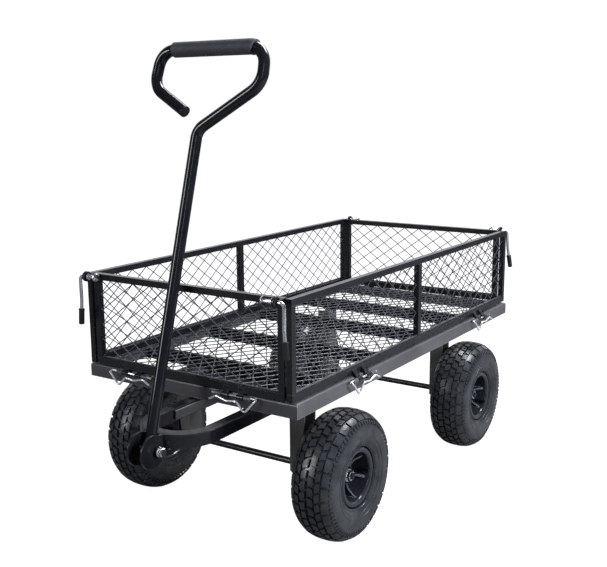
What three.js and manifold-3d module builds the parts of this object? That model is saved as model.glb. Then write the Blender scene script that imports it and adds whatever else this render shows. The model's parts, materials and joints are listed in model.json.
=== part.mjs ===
// A four-wheeled steel garden cart with wire-mesh panels, a steered front axle and a loop handle.
// Millimetres, +Z up. The front, with the handle, faces -Y. Heights are above the ground.
// Y is counted from the middle of the tray until the last lines, which centre the whole cart.
import * as THREE from "three";
import { mergeGeometries, mergeVertices } from "three/addons/utils/BufferGeometryUtils.js";
import Module from "manifold-3d";

const wasm = await Module();
wasm.setup();

const GAP = 0.3; // between neighbouring pieces that touch on the real cart
const STEEL = 2.5; // thickness of folded sheet and angle
const SIDES = [-1, 1];

// Tray: an angle-steel rectangle with four cross bars and a mesh floor on top.
const TRAY = { width: 504, length: 969, bottom: 292, top: 319.5, flange: 22 };
const CROSS_BAR_FRONTS = [-328, -121, 93, 285.5];
const CROSS_BAR_DEPTH = 10;
const SHEET = 1.5; // thickness of every mesh sheet
const FLOOR_SHEET = { width: 464, length: 950, cell: [156, 136], strand: 8, border: 8 };

// Panels: square tube frames that stand on the tray.
const PANEL = { bottom: 322, top: 506, tube: 12.5, bottomRail: 14, middlePost: 14 };
const SIDE_PANEL_FACE = 244.7; // outer face, from the middle
const END_PANEL_FACE = 488.5;
const END_PANEL_HALF = 227;
const PANEL_CELL = [127.5, 91.8]; // a diamond of the wire mesh, across and up
const PANEL_STRAND = 6;

// Panel hinges: a wire clip is the pin through two tray knuckles and two panel knuckles.
const HINGE_Z = 314;
const HINGE_OUT = 6; // axis to the tray's outer face
const KNUCKLE_RADIUS = 5.4;
const KNUCKLE_HOLE = 2.4;
const KNUCKLE_THICKNESS = 4;
const TRAY_KNUCKLES = [-30, 26];
const PANEL_KNUCKLES = [-24.5, 20.5];
const SIDE_HINGES = [-264, 309];
const END_HINGES = [-132, 116];
const CLIP_RADIUS = 2;
const CLIP_LINE = [
  [-44, 0],
  [-20, 0],
  [20, 0],
  [34, 0],
  [40, -0.6],
  [47, -6],
  [38, -13],
  [-16, -13],
  [-31, -24],
  [-44, -11],
];

// Wheels and axles.
const WHEEL = { radius: 128, width: 93, offset: 235.7, rimRadius: 60.2, rimHalf: 38 };
const WHEEL_FACETS = 24;
const AXLE_Z = WHEEL.radius;
const AXLE_RADIUS = 6.8;
const AXLE_FACETS = 12;
const FRONT_AXLE_Y = -309.6;
const REAR_AXLE_Y = 277.1;
const HUB = { radius: 19.7, inner: 30, outer: 13 }; // inwards and outwards from the wheel's middle
const AXLE_NUT = { washer: 13, washerThickness: 2.5, radius: 10.5, height: 8.5, stub: 3 };
const AXLE_SPACER = { radius: 10, length: 14 };

// Running gear between the tray and the axles.
const TURNTABLE = {
  plate: 6,
  upperHalf: [75, 60],
  upperBottom: 285.7,
  lowerBottom: 279.4,
  radius: 62,
  bore: 5.4,
};
const KINGPIN = { radius: 5, head: 8, headHeight: 7, tip: 3 };
const BEAM = { half: 160, depth: 50, bottom: 248.3, top: 279.1 };
const LEG_DEPTH = 40;
const FRONT_LEG = { inner: 128, outerTop: 164, outerFoot: 148, top: 248, knee: 224, foot: 110 };
const REAR_LEG = { inner: 147, outerTop: 180, outerFoot: 168, top: 291.7, knee: 226, foot: 110 };

// Tongue and hitch.
const TONGUE = { inner: 56, outer: 81, noseY: -495, rearY: -336, bottom: 222, top: 248 };
const HITCH = { y: -590.8, z: 222, earRadius: 31.4, earForward: 8, earInner: 14, earOuter: 19, bolt: 6 };
const BOLT_COLLAR = { radius: 8.5, length: 6.5 };
const BOLT_HEAD = { washer: 10, washerThickness: 2, radius: 9, height: 8 };
const BOLT_NUT = { radius: 11, height: 9, tip: 3 };

// Handle, drawn in its own plane: x across, s up the shaft from the hitch bolt.
const HANDLE = { lean: 0.2792, tube: 11, gripBore: 11.6, gripRadius: 14.7, gripFrom: -84, gripTo: 87 };
const HANDLE_CORNERS = [
  { x: 0, s: -14, bend: 0 },
  { x: 0, s: 585, bend: 29 },
  { x: 131, s: 669, bend: 42 },
  { x: 127, s: 737.5, bend: 36 },
  { x: -115, s: 737.5, bend: 33 },
  { x: -121, s: 667, bend: 38 },
  { x: -38, s: 620, bend: 0 },
];

// Latches: an L-shaped rod that turns in an eye at the top corner of each end panel.
const LATCH = { rod: 3.5, head: 8, z: 503, headX: 196, sleeve: 6.2, sleeveBore: 3.9 };
const LATCH_EYE = { from: 222, to: 228, radius: 10.5, hole: 4.4, armBelow: 7, armAbove: 3 };
const LATCH_END = { front: { out: 19.5, flare: 0 }, rear: { out: 9, flare: 0.24 } };

const POWDER_COAT = { color: 0x17181b, roughness: 0.42, metalness: 0.35 };
const RAIL_PAINT = { color: 0x55585e, roughness: 0.45, metalness: 0.4 };
const ZINC = { color: 0xb9bdc2, roughness: 0.3, metalness: 1 };
const TYRE_RUBBER = { color: 0x1c1c1d, roughness: 0.85, metalness: 0 };
const RIM_PAINT = { color: 0x101113, roughness: 0.35, metalness: 0.3 };
const FOAM = { color: 0x1a1a1c, roughness: 0.9, metalness: 0 };
const PLASTIC = { color: 0x141415, roughness: 0.55, metalness: 0 };

// ---- solids ----

function solidOf(geometry) {
  const bare = geometry.index ? geometry.toNonIndexed() : geometry.clone();
  bare.deleteAttribute("normal");
  bare.deleteAttribute("uv");
  const merged = mergeVertices(bare, 1e-3);
  return new wasm.Manifold(
    new wasm.Mesh({
      numProp: 3,
      vertProperties: merged.attributes.position.array,
      triVerts: new Uint32Array(merged.index.array),
    }),
  );
}

function geometryOf(solid) {
  const mesh = solid.getMesh();
  const geometry = new THREE.BufferGeometry();
  geometry.setAttribute("position", new THREE.BufferAttribute(mesh.vertProperties, 3));
  geometry.setIndex(new THREE.BufferAttribute(mesh.triVerts, 1));
  const flat = geometry.toNonIndexed();
  flat.computeVertexNormals();
  return flat;
}

function join(...geometries) {
  return geometryOf(geometries.map(solidOf).reduce((whole, piece) => whole.add(piece)));
}

function cut(geometry, ...tools) {
  return geometryOf(tools.map(solidOf).reduce((rest, tool) => rest.subtract(tool), solidOf(geometry)));
}

function overlap(geometry, other) {
  return geometryOf(solidOf(geometry).intersect(solidOf(other)));
}

function block(x, y, z) {
  const [width, depth, height] = [x, y, z].map(([from, to]) => to - from);
  const middle = [x, y, z].map(([from, to]) => (from + to) / 2);
  return new THREE.BoxGeometry(width, depth, height).translate(...middle);
}

function polygon(points) {
  return new THREE.Shape(points.map(([across, up]) => new THREE.Vector2(across, up)));
}

function circle(across, up, radius) {
  return new THREE.Shape().absarc(across, up, radius, 0, 2 * Math.PI);
}

function slab(shape, thickness, curveSegments = 12) {
  return new THREE.ExtrudeGeometry(shape, { depth: thickness, bevelEnabled: false, curveSegments });
}

// A plate whose outline is drawn in (y, z) and that fills from x0 to x1.
function plateAcrossX(shape, [x0, x1], curveSegments) {
  const plate = slab(shape, x1 - x0, curveSegments);
  return plate.rotateX(Math.PI / 2).rotateZ(Math.PI / 2).translate(x0, 0, 0);
}

// A plate whose outline is drawn in (x, z) and that fills from y0 to y1.
function plateAcrossY(shape, [y0, y1], curveSegments) {
  return slab(shape, y1 - y0, curveSegments).rotateX(Math.PI / 2).translate(0, y1, 0);
}

// A plate whose outline is drawn in (x, y) and that fills from z0 to z1.
function plateAcrossZ(shape, [z0, z1], curveSegments) {
  return slab(shape, z1 - z0, curveSegments).translate(0, 0, z0);
}

function barAlongX(radius, [x0, x1], y, z, sides = 16) {
  const bar = new THREE.CylinderGeometry(radius, radius, x1 - x0, sides);
  return bar.rotateZ(-Math.PI / 2).translate((x0 + x1) / 2, y, z);
}

// A closed ring turned about the X axis from a profile of [radius, x] points.
function turnedAboutX(profile, facets) {
  const points = [...profile, profile[0]].map(([radius, x]) => new THREE.Vector2(radius, x));
  return new THREE.LatheGeometry(points, facets).rotateZ(-Math.PI / 2);
}

// A round wire or tube along a curve.
function tubeAlong(curve, radius, steps, sides) {
  const section = new THREE.Shape().absarc(0, 0, radius, 0, 2 * Math.PI);
  return new THREE.ExtrudeGeometry(section, {
    extrudePath: curve,
    steps,
    curveSegments: sides,
    bevelEnabled: false,
  });
}

// Straight runs joined by bends, from corners in one plane. Each bend is a Bezier between two runs.
function bentLine(corners) {
  const line = new THREE.CurvePath();
  let from = corners[0].at;
  corners.slice(1, -1).forEach(({ at, bend }, i) => {
    const before = corners[i].at.clone().sub(at).normalize();
    const after = corners[i + 2].at.clone().sub(at).normalize();
    const reach = bend / Math.tan(before.angleTo(after) / 2);
    const start = at.clone().addScaledVector(before, reach);
    const end = at.clone().addScaledVector(after, reach);
    const pull = 0.56 + (0.11 * before.angleTo(after)) / Math.PI;
    line.add(new THREE.LineCurve3(from, start));
    line.add(
      new THREE.CubicBezierCurve3(
        start,
        start.clone().lerp(at, pull),
        end.clone().lerp(at, pull),
        end,
      ),
    );
    from = end;
  });
  line.add(new THREE.LineCurve3(from, corners.at(-1).at));
  return line;
}

// ---- the cart's tree ----

const cart = new THREE.Group();

function add(name, geometry, look, parent = cart) {
  const mesh = new THREE.Mesh(geometry, new THREE.MeshStandardMaterial(look));
  mesh.name = name;
  parent.add(mesh);
  return mesh;
}

const sideName = (side) => (side < 0 ? "left" : "right");
const endName = (end) => (end < 0 ? "front" : "rear");

// ---- hinges ----

// Knuckle outlines in (out, up) about the hinge axis. The foot reaches back to the tray or the panel.
function knuckleFoot(onPanel, inset) {
  const r = KNUCKLE_RADIUS;
  if (!onPanel) {
    const edge = -HINGE_OUT - 1;
    return [[edge, -r], [0, -r], [0, r], [edge, r]];
  }
  const clear = PANEL.bottom - HINGE_Z + 0.6;
  const shoulder = r * Math.SQRT1_2;
  return [[-r, 0], [shoulder, shoulder], [-inset - 0.5, clear + 10.5], [-inset - 0.5, clear], [-r, clear]];
}

// The knuckles of one hinge, drawn along +Y at the origin with the outside towards +X.
function knuckles(starts, onPanel, inset) {
  return starts.map((start) => {
    const along = [start, start + KNUCKLE_THICKNESS];
    const eye = plateAcrossY(circle(0, 0, KNUCKLE_RADIUS), along, 6);
    const foot = plateAcrossY(polygon(knuckleFoot(onPanel, inset)), along);
    const hole = plateAcrossY(circle(0, 0, KNUCKLE_HOLE), [start - 1, start + KNUCKLE_THICKNESS + 1], 4);
    return cut(join(eye, foot), hole);
  });
}

// The four places of a hinge pair: on a side (axis along Y) or an end (axis along X).
function onSide(geometry, side, along) {
  const turned = side < 0 ? geometry.rotateZ(Math.PI) : geometry;
  return turned.translate(side * (TRAY.width / 2 + HINGE_OUT), along, HINGE_Z);
}

function onEnd(geometry, end, along) {
  const turned = geometry.rotateZ((end * Math.PI) / 2);
  return turned.translate(along, end * (TRAY.length / 2 + HINGE_OUT), HINGE_Z);
}

function sideKnuckles(starts, side, onPanel, inset) {
  return SIDE_HINGES.flatMap((y) => knuckles(starts, onPanel, inset).map((g) => onSide(g, side, y)));
}

function endKnuckles(starts, end, onPanel, inset) {
  return END_HINGES.flatMap((x) => knuckles(starts, onPanel, inset).map((g) => onEnd(g, end, x)));
}

function clip() {
  const points = CLIP_LINE.map(([along, up]) => new THREE.Vector3(0, along, up));
  return tubeAlong(new THREE.CatmullRomCurve3(points, false, "centripetal"), CLIP_RADIUS, 18, 3);
}

// ---- tray ----

function rectangleRing(width, length, wall) {
  const ring = polygon([
    [-width / 2, -length / 2],
    [width / 2, -length / 2],
    [width / 2, length / 2],
    [-width / 2, length / 2],
  ]);
  const [x, y] = [width / 2 - wall, length / 2 - wall];
  ring.holes.push(polygon([[-x, -y], [-x, y], [x, y], [x, -y]]));
  return ring;
}

function trayFrame() {
  const web = plateAcrossZ(rectangleRing(TRAY.width, TRAY.length, STEEL), [TRAY.bottom, TRAY.top]);
  const ledge = rectangleRing(TRAY.width, TRAY.length, TRAY.flange);
  const flange = plateAcrossZ(ledge, [TRAY.top - STEEL, TRAY.top]);
  const onSides = SIDES.flatMap((side) => sideKnuckles(TRAY_KNUCKLES, side, false, 0));
  const onEnds = SIDES.flatMap((end) => endKnuckles(TRAY_KNUCKLES, end, false, 0));
  return join(web, flange, ...onSides, ...onEnds);
}

function crossBar(front) {
  const y = [front, front + CROSS_BAR_DEPTH];
  const between = TRAY.width / 2 - TRAY.flange - GAP;
  const under = TRAY.width / 2 - STEEL - GAP;
  return join(
    block([-between, between], y, [TRAY.bottom, TRAY.top]),
    block([-under, under], y, [TRAY.bottom, TRAY.top - STEEL - GAP]),
  );
}

// A sheet across Y, centred on the origin, with rows of diamond holes inside a solid border.
function meshSheet(width, height, [cellWidth, cellHeight], strand, border = 4) {
  const holes = [];
  const columns = Math.ceil(width / cellWidth) + 1;
  const rows = Math.ceil(height / cellHeight) + 1;
  for (let i = -columns; i <= columns; i += 1) {
    for (let j = -rows; j <= rows; j += 1) {
      if ((i + j) % 2 !== 0) continue;
      const hole = new THREE.CylinderGeometry(1, 1, 3 * SHEET, 4);
      hole.scale((cellWidth - strand) / 2, 1, (cellHeight - strand) / 2);
      holes.push(hole.translate((i * cellWidth) / 2, 0, (j * cellHeight) / 2));
    }
  }
  const [x, z] = [width / 2, height / 2];
  const inside = block([border - x, x - border], [-2 * SHEET, 2 * SHEET], [border - z, z - border]);
  const sheet = block([-x, x], [-SHEET / 2, SHEET / 2], [-z, z]);
  return cut(sheet, overlap(mergeGeometries(holes), inside));
}

function floorMesh() {
  const { width, length, cell, strand } = FLOOR_SHEET;
  const sheet = meshSheet(width, length, cell, strand, FLOOR_SHEET.border).rotateX(Math.PI / 2);
  return sheet.translate(0, 0, TRAY.top + GAP + SHEET / 2);
}

add("tray_frame", trayFrame(), RAIL_PAINT);
CROSS_BAR_FRONTS.forEach((front, i) => add(`cross_bar_${i + 1}`, crossBar(front), RAIL_PAINT));
add("floor_mesh", floorMesh(), POWDER_COAT);
for (const side of SIDES) {
  SIDE_HINGES.forEach((y, i) => {
    add(`hinge_clip_${sideName(side)}_${i + 1}`, onSide(clip(), side, y), ZINC);
  });
}
for (const end of SIDES) {
  END_HINGES.forEach((x, i) => {
    add(`hinge_clip_${endName(end)}_${i + 1}`, onEnd(clip(), end, x), ZINC);
  });
}

// ---- panels ----

// A panel frame along X with its middle at x = 0, its outer face at y = 0 and the tube behind it.
function panelFrame(half, posts) {
  const y = [0, PANEL.tube];
  const rails = [
    block([-half, half], y, [PANEL.bottom, PANEL.bottom + PANEL.bottomRail]),
    block([-half, half], y, [PANEL.top - PANEL.tube, PANEL.top]),
  ];
  const uprights = posts.map((x) => {
    const wide = x === 0 ? PANEL.middlePost : PANEL.tube;
    return block([x - wide / 2, x + wide / 2], y, [PANEL.bottom + 1, PANEL.top - 1]);
  });
  return join(...rails, ...uprights);
}

// The mesh between two posts of a panel whose outer face is at y = 0.
function panelMesh(from, to) {
  const low = PANEL.bottom + PANEL.bottomRail + GAP;
  const high = PANEL.top - PANEL.tube - GAP;
  const sheet = meshSheet(to - from - 2 * GAP, high - low, PANEL_CELL, PANEL_STRAND);
  return sheet.translate((from + to) / 2, PANEL.tube / 2, (low + high) / 2);
}

// Puts a panel piece on the cart: y = 0 goes to the outer face of that side or end.
function toSide(geometry, side) {
  return geometry.rotateZ((side * Math.PI) / 2).translate(side * SIDE_PANEL_FACE, 0, 0);
}

function toEnd(geometry, end) {
  return (end > 0 ? geometry.rotateZ(Math.PI) : geometry).translate(0, end * END_PANEL_FACE, 0);
}

function latchEye(side, end) {
  const { out } = end < 0 ? LATCH_END.front : LATCH_END.rear;
  const y = end * (END_PANEL_FACE + out);
  const root = end * (END_PANEL_FACE - 2);
  const x = side < 0 ? [-LATCH_EYE.to, -LATCH_EYE.from] : [LATCH_EYE.from, LATCH_EYE.to];
  const [low, high] = [LATCH.z - LATCH_EYE.armBelow, LATCH.z + LATCH_EYE.armAbove];
  const outline = [[root, low], [y, low], [y, high], [root, high]];
  const arm = plateAcrossX(polygon(end < 0 ? outline : outline.reverse()), x);
  const eye = plateAcrossX(circle(y, LATCH.z, LATCH_EYE.radius), x, 8);
  const hole = plateAcrossX(circle(y, LATCH.z, LATCH_EYE.hole), [x[0] - 1, x[1] + 1], 6);
  return { solid: join(arm, eye), hole };
}

for (const side of SIDES) {
  const half = END_PANEL_FACE;
  const endPost = half - PANEL.tube / 2;
  const frame = toSide(panelFrame(half, [-endPost, 0, endPost]), side);
  const inset = TRAY.width / 2 + HINGE_OUT - SIDE_PANEL_FACE;
  const hinges = sideKnuckles(PANEL_KNUCKLES, side, true, inset);
  add(`side_panel_frame_${sideName(side)}`, join(frame, ...hinges), POWDER_COAT);
  for (const end of SIDES) {
    const [near, far] = [PANEL.middlePost / 2, half - PANEL.tube];
    const bay = side * end < 0 ? [-far, -near] : [near, far];
    add(`side_panel_mesh_${sideName(side)}_${endName(end)}`, toSide(panelMesh(...bay), side), POWDER_COAT);
  }
}

for (const end of SIDES) {
  const post = END_PANEL_HALF - PANEL.tube / 2;
  const frame = toEnd(panelFrame(END_PANEL_HALF, [-post, post]), end);
  const inset = TRAY.length / 2 + HINGE_OUT - END_PANEL_FACE;
  const hinges = endKnuckles(PANEL_KNUCKLES, end, true, inset);
  const eyes = SIDES.map((side) => latchEye(side, end));
  const whole = cut(join(frame, ...hinges, ...eyes.map((eye) => eye.solid)), ...eyes.map((eye) => eye.hole));
  add(`${endName(end)}_panel_frame`, whole, POWDER_COAT);
  const clearHalf = END_PANEL_HALF - PANEL.tube;
  add(`${endName(end)}_panel_mesh`, toEnd(panelMesh(-clearHalf, clearHalf), end), POWDER_COAT);
}

// ---- latches ----

// A latch is drawn about its own axis: x across the cart, z down the lever.
function latchRod() {
  const points = [
    [LATCH.headX + 3, 0],
    [226, 0],
    [235, -1.5],
    [242, -8],
    [243, -24],
    [242, -52],
    [244.6, -84],
  ].map(([x, z]) => new THREE.Vector3(x, 0, z));
  const rod = tubeAlong(new THREE.CatmullRomCurve3(points, false, "centripetal"), LATCH.rod, 14, 4);
  return join(rod, barAlongX(LATCH.head, [LATCH.headX, LATCH.headX + 4], 0, 0, 10));
}

// The soft sleeve over the lever's end, with a blind bore for the rod.
function latchSleeve() {
  const [top, bottom] = [new THREE.Vector3(242.9, 0, -68), new THREE.Vector3(246.4, 0, -99)];
  const sleeve = tubeAlong(new THREE.LineCurve3(top, bottom), LATCH.sleeve, 1, 6);
  const boreEnd = top.clone().lerp(bottom, 0.62);
  const boreStart = top.clone().lerp(bottom, -0.1);
  return cut(sleeve, tubeAlong(new THREE.LineCurve3(boreStart, boreEnd), LATCH.sleeveBore, 1, 6));
}

for (const end of SIDES) {
  const { out, flare } = end < 0 ? LATCH_END.front : LATCH_END.rear;
  for (const side of SIDES) {
    const latch = new THREE.Group();
    latch.position.set(0, end * (END_PANEL_FACE + out), LATCH.z);
    latch.rotation.x = end * flare;
    cart.add(latch);
    const turn = side < 0 ? Math.PI : 0;
    const place = `${endName(end)}_${sideName(side)}`;
    add(`latch_rod_${place}`, latchRod().rotateZ(turn), ZINC, latch);
    add(`latch_sleeve_${place}`, latchSleeve().rotateZ(turn), PLASTIC, latch);
  }
}

// ---- wheels and axles ----

function tyre() {
  const outer = [[60.5, -37], [86, -46.5], [114, -42], [WHEEL.radius, -16]];
  const inner = [[60.5, -29], [112, -32]];
  const mirrored = (points) => points.map(([radius, x]) => [radius, -x]).reverse();
  const inside = [...mirrored(inner).reverse(), ...inner.reverse()];
  return turnedAboutX([...outer, ...mirrored(outer), ...inside], WHEEL_FACETS);
}

// The rim's barrel with one dished web, which stands towards the outside.
function rim() {
  const { rimRadius, rimHalf } = WHEEL;
  const [barrel, bore] = [rimRadius - 3, HUB.radius + GAP];
  const profile = [
    [rimRadius, -rimHalf],
    [rimRadius, rimHalf],
    [barrel, rimHalf],
    [barrel, 16],
    [bore, 10],
    [bore, 5],
    [barrel, 11],
    [barrel, -rimHalf],
  ];
  return turnedAboutX(profile, WHEEL_FACETS);
}

function hub() {
  const bore = AXLE_RADIUS + GAP;
  const { radius, inner, outer } = HUB;
  return turnedAboutX([[radius, -inner], [radius, outer], [bore, outer], [bore, -inner]], 16);
}

// A round bar through both legs with a spacer, a washer and a nut at each wheel.
function axle() {
  const { washer, washerThickness, radius, height, stub } = AXLE_NUT;
  const face = WHEEL.offset + HUB.outer + GAP;
  const nutFace = face + washerThickness;
  const spacerEnd = WHEEL.offset - HUB.inner - GAP;
  const ends = SIDES.flatMap((side) => {
    const span = (from, to) => (side < 0 ? [-to, -from] : [from, to]);
    return [
      barAlongX(washer, span(face, nutFace), 0, 0),
      barAlongX(radius, span(nutFace - GAP, nutFace + height), 0, 0, 6),
      barAlongX(AXLE_SPACER.radius, span(spacerEnd - AXLE_SPACER.length, spacerEnd), 0, 0, AXLE_FACETS),
    ];
  });
  const reach = nutFace + height + stub;
  return join(barAlongX(AXLE_RADIUS, [-reach, reach], 0, 0, AXLE_FACETS), ...ends);
}

function addWheel(end, side, y) {
  const wheel = new THREE.Group();
  wheel.position.set(side * WHEEL.offset, y, AXLE_Z);
  cart.add(wheel);
  const turn = side < 0 ? Math.PI : 0;
  const place = `${endName(end)}_${sideName(side)}`;
  add(`tyre_${place}`, tyre(), TYRE_RUBBER, wheel);
  add(`rim_${place}`, rim().rotateZ(turn), RIM_PAINT, wheel);
  add(`hub_${place}`, hub().rotateZ(turn), PLASTIC, wheel);
}

for (const side of SIDES) {
  addWheel(-1, side, FRONT_AXLE_Y);
  addWheel(1, side, REAR_AXLE_Y);
}
add("front_axle", axle().translate(0, FRONT_AXLE_Y, AXLE_Z), POWDER_COAT);
add("rear_axle", axle().translate(0, REAR_AXLE_Y, AXLE_Z), POWDER_COAT);

// A leg of folded sheet: a web on the inside with the axle's hole, and a tapered flange on each edge.
function leg({ inner, outerTop, outerFoot, top, knee, foot }, side, y) {
  const outline = [[inner, foot], [outerFoot, foot], [outerTop, knee], [outerTop, top], [inner, top]];
  const flanges = SIDES.map((edge) => {
    const middle = y + edge * (LEG_DEPTH / 2 - STEEL / 2);
    return plateAcrossY(polygon(outline), [middle - STEEL / 2, middle + STEEL / 2]);
  });
  const web = block([inner, inner + STEEL], [y - LEG_DEPTH / 2, y + LEG_DEPTH / 2], [foot, top]);
  const hole = barAlongX(AXLE_RADIUS + GAP, [inner - 1, inner + STEEL + 1], y, AXLE_Z, AXLE_FACETS);
  const right = cut(join(web, ...flanges), hole);
  return side < 0 ? right.translate(0, -y, 0).rotateZ(Math.PI).translate(0, y, 0) : right;
}

for (const side of SIDES) {
  add(`front_leg_${sideName(side)}`, leg(FRONT_LEG, side, FRONT_AXLE_Y), POWDER_COAT);
  add(`rear_leg_${sideName(side)}`, leg(REAR_LEG, side, REAR_AXLE_Y), POWDER_COAT);
}

// ---- steering ----

function turntableUpper() {
  const [x, y] = TURNTABLE.upperHalf;
  const plate = block([-x, x], [FRONT_AXLE_Y - y, FRONT_AXLE_Y + y], [0, TURNTABLE.plate]);
  const bore = plateAcrossZ(circle(0, FRONT_AXLE_Y, TURNTABLE.bore), [-1, TURNTABLE.plate + 1]);
  return cut(plate, bore).translate(0, 0, TURNTABLE.upperBottom);
}

function turntableLower() {
  const disc = circle(0, FRONT_AXLE_Y, TURNTABLE.radius);
  disc.holes.push(circle(0, FRONT_AXLE_Y, TURNTABLE.bore));
  return plateAcrossZ(disc, [TURNTABLE.lowerBottom, TURNTABLE.lowerBottom + TURNTABLE.plate], 16);
}

// An inverted channel over both front legs.
function steeringBeam() {
  const y = [FRONT_AXLE_Y - BEAM.depth / 2, FRONT_AXLE_Y + BEAM.depth / 2];
  const whole = block([-BEAM.half, BEAM.half], y, [BEAM.bottom, BEAM.top]);
  const inside = [y[0] + STEEL, y[1] - STEEL];
  const hollow = block([-BEAM.half - 1, BEAM.half + 1], inside, [BEAM.bottom - 1, BEAM.top - STEEL]);
  const bore = plateAcrossZ(circle(0, FRONT_AXLE_Y, TURNTABLE.bore), [BEAM.top - 5, BEAM.top + 1]);
  return cut(whole, hollow, bore);
}

// The pin that the front axle steers on, with a head on the upper plate and a nut inside the beam.
function kingpin() {
  const shank = circle(0, FRONT_AXLE_Y, KINGPIN.radius);
  const head = circle(0, FRONT_AXLE_Y, KINGPIN.head);
  const upperTop = TURNTABLE.upperBottom + TURNTABLE.plate + GAP;
  const underBeam = BEAM.top - STEEL - GAP;
  return join(
    plateAcrossZ(shank, [underBeam - KINGPIN.headHeight - KINGPIN.tip, upperTop + 1], 6),
    plateAcrossZ(head, [upperTop, upperTop + KINGPIN.headHeight], 3),
    plateAcrossZ(head, [underBeam - KINGPIN.headHeight, underBeam], 3),
  );
}

add("turntable_upper", turntableUpper(), POWDER_COAT);
add("turntable_lower", turntableLower(), POWDER_COAT);
add("steering_beam", steeringBeam(), POWDER_COAT);
add("kingpin", kingpin(), ZINC);

// ---- tongue ----

// A U in plan: two arms along Y joined by a round nose.
function tongueOutline(inner, outer) {
  const { noseY, rearY } = TONGUE;
  const outline = new THREE.Shape();
  outline.moveTo(outer, rearY);
  outline.lineTo(inner, rearY);
  outline.lineTo(inner, noseY);
  outline.absarc(0, noseY, inner, 0, Math.PI, true);
  outline.lineTo(-inner, rearY);
  outline.lineTo(-outer, rearY);
  outline.lineTo(-outer, noseY);
  outline.absarc(0, noseY, outer, Math.PI, 2 * Math.PI, false);
  return outline;
}

// The U reaches the beam, and two ear plates on its nose hold the handle's bolt.
function tongue() {
  const { inner, outer, bottom, top, rearY } = TONGUE;
  const { y, z, earRadius, earForward, earInner, earOuter, bolt } = HITCH;
  const channel = cut(
    plateAcrossZ(tongueOutline(inner, outer), [bottom, top], 9),
    plateAcrossZ(tongueOutline(inner + STEEL, outer - STEEL), [bottom - 1, top - STEEL], 9),
  );
  const feet = SIDES.map((side) => {
    const x = side < 0 ? [-outer, -inner] : [inner, outer];
    return block(x, [rearY - 1, FRONT_AXLE_Y + BEAM.depth / 2], [top - STEEL, top]);
  });
  const ears = SIDES.map((side) => {
    const x = side < 0 ? [-earOuter, -earInner] : [earInner, earOuter];
    const neck = block(x, [y - earForward, TONGUE.noseY - inner - 4], [z - 6, top]);
    return join(plateAcrossX(circle(y - earForward, z, earRadius), x, 12), neck);
  });
  const slot = block([-earInner, earInner], [y - 60, y + 24], [bottom - 2, top + 2]);
  const hole = barAlongX(bolt + GAP, [-earOuter - 1, earOuter + 1], y, z, 12);
  return cut(join(cut(channel, slot), ...feet, ...ears), hole);
}

// A bolt through both ears: a collar, a washer and the hexagon head on the right, a nut on the left.
function hitchBolt() {
  const { y, z, earOuter, bolt } = HITCH;
  const { washer, washerThickness, radius, height } = BOLT_HEAD;
  const face = earOuter + GAP;
  const washerFace = face + BOLT_COLLAR.length;
  const headFace = washerFace + washerThickness;
  return join(
    barAlongX(bolt, [-face - BOLT_NUT.height - BOLT_NUT.tip, headFace], y, z, 12),
    barAlongX(BOLT_COLLAR.radius, [face, washerFace], y, z, 14),
    barAlongX(washer, [washerFace - GAP, headFace], y, z, 14),
    barAlongX(radius, [headFace - GAP, headFace + height], y, z, 6),
    barAlongX(BOLT_NUT.radius, [-face - BOLT_NUT.height, -face], y, z, 6),
  );
}

add("tongue", tongue(), POWDER_COAT);
add("hitch_bolt", hitchBolt(), ZINC);

// ---- handle ----

const handle = new THREE.Group();
handle.position.set(0, HITCH.y, HITCH.z);
handle.rotation.x = -HANDLE.lean;
cart.add(handle);

const handleCorners = HANDLE_CORNERS.map(({ x, s, bend }) => ({ at: new THREE.Vector3(x, 0, s), bend }));

function handleTube() {
  const tube = tubeAlong(bentLine(handleCorners), HANDLE.tube, 56, 5);
  return cut(tube, barAlongX(HITCH.bolt + GAP, [-20, 20], 0, 0, 12));
}

function handleGrip() {
  const { gripBore, gripRadius, gripFrom, gripTo } = HANDLE;
  const profile = [[gripRadius, gripFrom], [gripRadius, gripTo], [gripBore, gripTo], [gripBore, gripFrom]];
  return turnedAboutX(profile, 16).translate(0, 0, HANDLE_CORNERS[3].s);
}

// A cap on the open end of the loop.
function handleEndPlug() {
  const [before, end] = handleCorners.slice(-2).map((corner) => corner.at);
  const along = end.clone().sub(before).normalize();
  const start = end.clone().addScaledVector(along, GAP);
  return tubeAlong(new THREE.LineCurve3(start, start.clone().addScaledVector(along, 4)), HANDLE.tube, 1, 6);
}

add("handle_tube", handleTube(), POWDER_COAT, handle);
add("handle_grip", handleGrip(), FOAM, handle);
add("handle_end_plug", handleEndPlug(), PLASTIC, handle);

// The origin is the middle of the cart's footprint, on the ground.
const extent = new THREE.Box3().setFromObject(cart, true);
cart.position.y = -(extent.min.y + extent.max.y) / 2;

export default cart;
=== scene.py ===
"""The look of a steel garden cart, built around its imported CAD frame.

Metres, +Z up. The handle end faces -Y. Outlines and paths are written in millimetres.
"""

import json
import math
import random

import bpy
from mathutils import Matrix, Vector


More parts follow.
